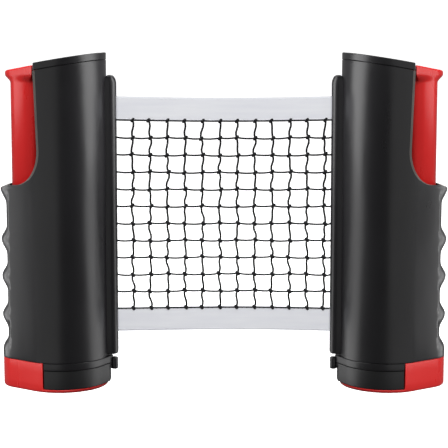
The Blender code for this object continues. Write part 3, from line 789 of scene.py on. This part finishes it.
def clamp_springs():
    """The coil springs that keep the jaws shut, which shorten as the plungers go down."""
    low, high, radius, wire = 0.0223, 0.1039, 0.0043, 0.0006
    turns, steps, sides = 11, 32, 10
    end_rise = 0.04  # extra rise of the first and last turn, as a share of the height
    x = LIP_X + SPRING_U
    for side, sign in POSTS.items():
        rings = []
        for i in range(turns * steps + 1):
            share = i / (turns * steps)
            t = 2 * math.pi * i / steps
            ends = min(1, share * (turns + 1)) + max(0, share * (turns + 1) - turns)
            z = low + wire + (high - low - 2 * wire) * (end_rise * ends + (1 - 2 * end_rise) * share)
            ring = []
            for k in range(sides):
                turn = 2 * math.pi * k / sides
                r = radius + wire * math.cos(turn)
                ring.append((x + r * math.cos(t), r * math.sin(t), z + wire * math.sin(turn)))
            rings.append(ring)
        spring = settle(loft(f"{side}_jaw_spring", rings, SPRING_STEEL))
        if side == "left":
            mirror(spring)
        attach(spring, f"{side}_post")
        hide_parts(f"{side}_clamp_spring")
        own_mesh(spring)


# --- net ---


def waist(x):
    """How far the net's edges pull in at a place along it."""
    return 0.0009 * math.cos(min(1.0, abs(x) / LIP_X) * math.pi / 2)


def ripple(x, z):
    """How far the slack net stands out of its plane."""
    return 0.0004 * math.sin(x * 52 + z * 9) * math.cos(z * 17 - 0.6)


def band(name, bottom, x_places, rest, shape):
    """A woven tape, as a thin closed strip. rest() gives where a place along it lies at rest."""
    across, thickness, edge_share = 8, 0.00085, 0.55
    heights = [bottom + TAPE_HEIGHT * i / across for i in range(across + 1)]
    outs = [thickness / 2 * (edge_share if i in (0, across) else 1.0) for i in range(across + 1)]
    section = [(z, -out) for z, out in zip(heights, outs)]  # up the front
    section += [(z, out) for z, out in zip(heights[::-1], outs[::-1])]  # and down the rear
    rings = [[(rest(x), out + ripple(x, z), z + shape(x, z)) for z, out in section] for x in x_places]
    return settle(loft(name, rings, TAPE), 60)


def strand(bm, uv, points, radius, sides):
    """Adds a twine through points to a bmesh, with its turns and length as its UV."""
    lay_per_metre = 2600
    points = [Vector(p) for p in points]
    rings = []
    length = 0.0
    for i, point in enumerate(points):
        before, after = points[max(i - 1, 0)], points[min(i + 1, len(points) - 1)]
        line = (after - before).normalized()
        side = line.cross(Vector((0, 1, 0))).normalized()
        front = side.cross(line).normalized()
        if i:
            length += (point - points[i - 1]).length
        ring = []
        for k in range(sides):
            t = 2 * math.pi * k / sides
            ring.append(bm.verts.new(point + (side * math.cos(t) + front * math.sin(t)) * radius))
        rings.append((ring, length))
    for (ring, here), (after, there) in zip(rings, rings[1:]):
        for k in range(sides):
            m = (k + 1) % sides
            face = bm.faces.new((ring[k], ring[m], after[m], after[k]))
            turns = (k / sides, (k + 1) / sides, (k + 1) / sides, k / sides)
            for loop, turn, far in zip(face.loops, turns, (here, here, there, there)):
                loop[uv].uv = (turn * 2 * math.pi, far * lay_per_metre)
    bm.faces.new(rings[0][0][::-1])
    bm.faces.new(rings[-1][0])


def knot(bm, uv, centre, lean, coarse):
    """Adds a knot: two small crossed loops round the crossing of the twines."""
    size = 0.0017
    steps, sides = (5, 4) if coarse else (8, 6)
    for tilt, scale in ((lean, 1.0), (-lean * 0.7 + 1.2, 0.82)):
        points = []
        for i in range(steps + 1):
            t = 2 * math.pi * i / steps
            a, b = size * 0.62 * scale * math.cos(t), size * 0.68 * scale * math.sin(t)
            x = b * math.sin(tilt) + a * 0.35 * math.cos(tilt)
            z = b * math.cos(tilt) - a * 0.35 * math.sin(tilt)
            points.append((centre[0] + x, centre[1] + a * 0.75, centre[2] + z))
        strand(bm, uv, points, TWINE_R * 1.02, sides)


def mesh_rows():
    """Heights of the net's level twines: the lowest and highest lie just inside the tapes' edges."""
    overlap = 0.0006
    low, high = NET_BOTTOM + TAPE_HEIGHT - overlap, NET_TOP - TAPE_HEIGHT + overlap
    return [low + (high - low) * i / (ROWS - 1) for i in range(ROWS)]


def knot_place(column, row, rows, shape):
    """Where the knot of a column and a row lies, as (x, z), with the net's small irregularities."""
    x = FIRST_UPRIGHT_X + MESH_PITCH * column
    wander = 0.00045 * math.sin(column * 2.7 + row * 1.9) + 0.0003 * math.sin(column * 0.9 - row * 3.1)
    lift = 0.00035 * math.sin(column * 1.7 + row * 2.3)
    z = rows[row] + (0 if row in (0, ROWS - 1) else lift)
    return x + wander, z + shape(x, z)


def twines(name, columns, left, right, rest, shape, coarse=False):
    """The knotted mesh between two places along the net, with a knot at each crossing."""
    sag_depth, level_y, upright_y = 0.00042, -0.0001, 0.0002
    rows = mesh_rows()
    sides, level_steps, upright_steps = (4, 2, 4) if coarse else (7, 4, 6)
    bm = bmesh.new()
    uv = bm.loops.layers.uv.new("winding")
    for row in range(ROWS):
        start, end = ((x, rows[row] + shape(x, rows[row])) for x in (left, right))
        path = [start] + [knot_place(c, row, rows, shape) for c in columns] + [end]
        slack = 1 if 0 < row < ROWS - 1 else 0.25
        points = []
        for (xa, za), (xb, zb) in zip(path, path[1:]):
            for i in range(level_steps):
                t = i / level_steps
                x = xa + (xb - xa) * t
                z = za + (zb - za) * t - sag_depth * 4 * t * (1 - t) * slack
                points.append((x, ripple(x, z) + level_y, z))
        points.append((end[0], 0, end[1]))
        strand(bm, uv, points, TWINE_R * 0.86, sides)
    for column in columns:
        for row in range(ROWS - 1):
            (xa, za), (xb, zb) = (knot_place(column, r, rows, shape) for r in (row, row + 1))
            bow = (0.00042 + 0.00022 * math.sin(column * 2.1 + row * 1.3)) * (1 if row < ROWS / 2 else -1)
            points = []
            for i in range(upright_steps + 1):
                t = i / upright_steps
                x = xa + (xb - xa) * t + bow * math.sin(2 * math.pi * t)
                z = za + (zb - za) * t
                points.append((x, ripple(x, z) + upright_y, z))
            strand(bm, uv, points, TWINE_R, sides)
        for row in range(ROWS):
            x, z = knot_place(column, row, rows, shape)
            lean = 0.75 if row >= ROWS / 2 else -0.75
            knot(bm, uv, (x, ripple(x, z), z), lean, coarse)
    for vertex in bm.verts:
        vertex.co.x = rest(vertex.co.x)
    return settle(object_of(name, bm, TWINE), 60)


def stitches(name, levels, x_places, shape):
    """The rows of stitches along a tape, on its front and its rear."""
    length, radius, steps = 0.0017, 0.00013, 4
    bm = bmesh.new()
    uv = bm.loops.layers.uv.new("winding")
    for z in levels:
        for x in x_places:
            for side in (-1, 1):
                points = []
                for i in range(steps + 1):
                    t = i / steps
                    out = 0.00042 + 0.00014 * math.sin(math.pi * t)
                    place = x + length * (t - 0.5)
                    points.append((place, side * out + ripple(place, z), z + shape(place, z)))
                strand(bm, uv, points, radius, 5)
    return settle(object_of(name, bm, TAPE), 60)


def edge_shape(x, z):
    """Pull-in of the net towards its middle height, largest at its edges and halfway along."""
    middle, half = (NET_BOTTOM + NET_TOP) / 2, (NET_TOP - NET_BOTTOM) / 2
    return -waist(x) * (z - middle) / half


def no_shape(x, z):
    """No pull-in, for the net that comes off the reels."""
    return 0.0


def half_pull(piece):
    """The piece keeps to the middle between the posts, because each reel pays out half of the pull."""
    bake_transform(piece)


def middle_net():
    """The stretch of net that shows between the posts."""
    hem, pitch = 0.0012, 0.0026  # of the stitches
    places = [-SHOWN_HALF + 2 * SHOWN_HALF * i / 96 for i in range(97)]
    stitch_places = [-SHOWN_HALF + hem + pitch * i for i in range(int(2 * SHOWN_HALF / pitch))]

    def same(x):
        return x

    for name, bottom in (("bottom", NET_BOTTOM), ("top", NET_TOP - TAPE_HEIGHT)):
        tape = band(f"net_{name}_band", bottom, places, same, edge_shape)
        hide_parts(f"net_{name}_tape")
        levels = (bottom + hem, bottom + TAPE_HEIGHT - hem)
        seam = stitches(f"net_{name}_stitches", levels, stitch_places, edge_shape)
        half_pull(tape)
        half_pull(seam)
    mesh = twines("net_twines", range(COLUMNS), -SHOWN_HALF, SHOWN_HALF, same, edge_shape)
    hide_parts("net_mesh")
    half_pull(mesh)


def reserve_net(side):
    """The net that waits on a reel, packed close along X at rest, and evenly spread at the longest pull."""
    start, joint = -ROLL_INSIDE, -SHOWN_HALF
    shares = np.linspace(0, 0.5, 2001)
    reach = (joint - start) / float(np.interp(JOINT_SHARE, smooth(shares), shares))
    rest_places = np.linspace(start, joint, 4000)
    pulled_places = rest_places + smooth((rest_places - start) / reach) * LONGEST_PULL
    shift = LONGEST_PULL * JOINT_SHARE

    def rest(x):
        """x is counted in the net's own length, as if the net between the posts went on."""
        return float(np.interp(x + shift, pulled_places, rest_places))

    far = pulled_places[0] - shift
    places = np.linspace(far, joint, 180).tolist()
    first = -int((joint - far) / MESH_PITCH)
    columns = [c for c in range(first, 0) if far < FIRST_UPRIGHT_X + MESH_PITCH * c < joint - 0.001]
    pieces = [
        band(f"{side}_reserve_bottom_band", NET_BOTTOM, places, rest, no_shape),
        band(f"{side}_reserve_top_band", NET_TOP - TAPE_HEIGHT, places, rest, no_shape),
        twines(f"{side}_reserve_twines", columns, far, joint, rest, no_shape, coarse=True),
    ]
    for piece in pieces:
        if side == "right":
            mirror(piece)
            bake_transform(piece)
        else:
            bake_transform(piece)


# --- what stays as the CAD made it ---


def carry_over():
    """Gives the CAD pieces that stay their finished materials."""
    screws = [f"shell_screw_{n}" for n in range(1, len(SHELL_SCREWS) + 1)]
    screws += [f"foot_screw_{n}" for n in range(1, len(FOOT_SCREWS_U) + 1)]
    kept = {part: ZINC_STEEL for part in ["plunger_pin", "reel_axle"] + screws}
    kept.update({"spool": POM, "lower_bush": POM, "upper_bush": POM, "net_roll": WOUND})
    kept.update({"spring_barrel": BLACK, "reel_spring": SPRING_STEEL})
    for side in POSTS:
        for part, material in kept.items():
            for slot in frame["nodes"][f"{side}_{part}"].material_slots:
                slot.material = material


# --- studio ---


def softbox(name, place, target, size, power, lit=(), roll=0.0):
    """A soft light of (width, height) that faces a point, and lights all or the pieces named like lit."""
    light = bpy.data.lights.new(name, "AREA")
    light.shape = "RECTANGLE"
    light.size, light.size_y = size
    light.energy = power
    made = bpy.data.objects.new(name, light)
    bpy.context.scene.collection.objects.link(made)
    made.location = place
    facing = (Vector(target) - Vector(place)).to_track_quat("-Z", "Y")
    made.rotation_euler = (facing @ Quaternion((0, 0, 1), roll)).to_euler()
    made.visible_camera = False
    if lit:
        pieces = bpy.data.collections.new(f"{name}_pieces")
        for piece in bpy.context.scene.collection.all_objects:
            if piece.type == "MESH" and piece.name.startswith(lit):
                pieces.objects.link(piece)
        made.light_linking.receiver_collection = pieces


def backdrop():
    """A pale floor that curves up into the background, low enough for the open jaws to show."""
    floor = -CLAMP_TRAVEL - 0.001
    half_width, near, bend, top = 4, -3.0, 1.2, 3.5  # bend is both where the curve starts and its radius
    bm = bmesh.new()
    profile = [(near, floor)]  # (y, z)
    for i in range(17):
        turn = math.pi / 2 * i / 16
        profile.append((bend + bend * math.sin(turn), floor + bend - bend * math.cos(turn)))
    profile.append((2 * bend, top))
    left = [bm.verts.new((-half_width, y, z)) for y, z in profile]
    right = [bm.verts.new((half_width, y, z)) for y, z in profile]
    for i in range(len(profile) - 1):
        bm.faces.new((left[i], right[i], right[i + 1], left[i + 1]))
    mesh = bpy.data.meshes.new("sweep")
    bm.to_mesh(mesh)
    bm.free()
    mesh.shade_smooth()
    sweep = bpy.data.objects.new("sweep", mesh)
    bpy.context.scene.collection.objects.link(sweep)
    paper = Surface("paper", (0.93, 0.93, 0.93), 0.9)
    paper.drive("Base Color", paper.blend(paper.noise(3), (0.92, 0.92, 0.92), (0.94, 0.94, 0.94)))
    paper.fix("Specular IOR Level", 0.1)
    paper.fix("Emission Color", (1, 1, 1, 1))
    paper.fix("Emission Strength", 0.9)
    mesh.materials.append(paper.material)
    sweep.visible_glossy = False
    sweep.visible_diffuse = False
    sweep.visible_shadow = False


def surroundings():
    """Even light from all round, a little stronger from behind, and white to the camera."""
    world = bpy.data.worlds.new("studio")
    bpy.context.scene.world = world
    world.use_nodes = True
    nodes, links = world.node_tree.nodes, world.node_tree.links
    place = nodes.new("ShaderNodeTexCoord")
    parts = nodes.new("ShaderNodeSeparateXYZ")
    fade = nodes.new("ShaderNodeMapRange")
    for socket, value in (("From Min", -0.6), ("From Max", 0.5), ("To Min", 0.13), ("To Max", 0.24)):
        fade.inputs[socket].default_value = value
    seen = nodes.new("ShaderNodeLightPath")
    strength = nodes.new("ShaderNodeMix")
    factor, unseen, shown = strength.inputs[0], strength.inputs[2], strength.inputs[3]
    shown.default_value = 1.0
    links.new(place.outputs["Generated"], parts.inputs[0])
    links.new(parts.outputs["Y"], fade.inputs["Value"])
    links.new(seen.outputs["Is Camera Ray"], factor)
    links.new(fade.outputs["Result"], unseen)
    links.new(strength.outputs[0], nodes["Background"].inputs["Strength"])
    nodes["Background"].inputs["Color"].default_value = (1, 1, 1, 1)


def lights():
    """Soft light from all sides, with strips for the highlights of the black parts."""
    nets = ("net_", "left_reserve", "right_reserve")
    red_parts = ("thumb_plunger", "plunger_spigot", "lower_jaw")
    black_parts = ("front_", "rear_", "cap", "base_ring", "foot", "net_side_lug", "lug_arm", "screw_well")
    strip, strip_roll = (0.085, 0.17), 0.35
    all_reds = ()
    for side, sign in POSTS.items():
        blacks = tuple(f"{side}_{part}" for part in black_parts)
        reds = tuple(f"{side}_{part}" for part in red_parts)
        all_reds += reds
        for level, y, z, power in (("high", -0.037, 0.210, 0.20), ("low", -0.010, 0.040, 0.10)):
            name, aim = f"{side}_inner_strip_{level}", (sign * 0.078, -0.020, z)
            softbox(name, (sign * -0.03, y, z), aim, strip, power, blacks, -sign * strip_roll)
        place, aim = (sign * 0.180, 0.002, 0.13), (0, 0.002, 0.13)
        softbox(f"{side}_outer_strip", place, aim, (0.042, 0.25), 0.095, blacks)
        place, aim = (sign * 0.743, -0.827, 0.15), (sign * 0.10, 0, 0.15)
        softbox(f"{side}_fill", place, aim, (1.5, 1.3), 3.6, blacks)
        place, aim = (sign * 0.96, -0.54, 0.30), (sign * 0.12, 0, 0.30)
        softbox(f"{side}_red_fill", place, aim, (0.95, 0.80), 5.9, reds)
    softbox("net_front", (0, -1.2, 0.05), (0, 0, 0.10), (0.8, 0.6), 4.8, nets)
    softbox("top_softbox", (0, 0.1, 1.5), (0, 0, 0.1), (1.6, 1.2), 13)
    softbox("front_softbox", (0, -1.3, 1.5), (0, 0, 0.1), (1.4, 0.7), 23, nets + all_reds)
    softbox("rear_softbox", (0, 1.1, 1.1), (0, 0, 0.1), (1.4, 0.7), 18)


def point_camera():
    """The camera in front, looking down a little, as in the photograph."""
    data = bpy.data.cameras.new("camera")
    data.lens = 101
    data.sensor_width = 36
    camera = bpy.data.objects.new("camera", data)
    bpy.context.scene.collection.objects.link(camera)
    camera.location = (0, -0.750, 0.1776)
    camera.rotation_euler = (math.radians(90 - 6.1), 0, 0)
    bpy.context.scene.camera = camera


housings()
lips()
inner_walls()
caps()
bottoms()
plungers()
jaws()
clamp_springs()
middle_net()
reserve_net("left")
reserve_net("right")
carry_over()
backdrop()
surroundings()
lights()
point_camera()
bpy.context.scene.view_settings.view_transform = "Standard"
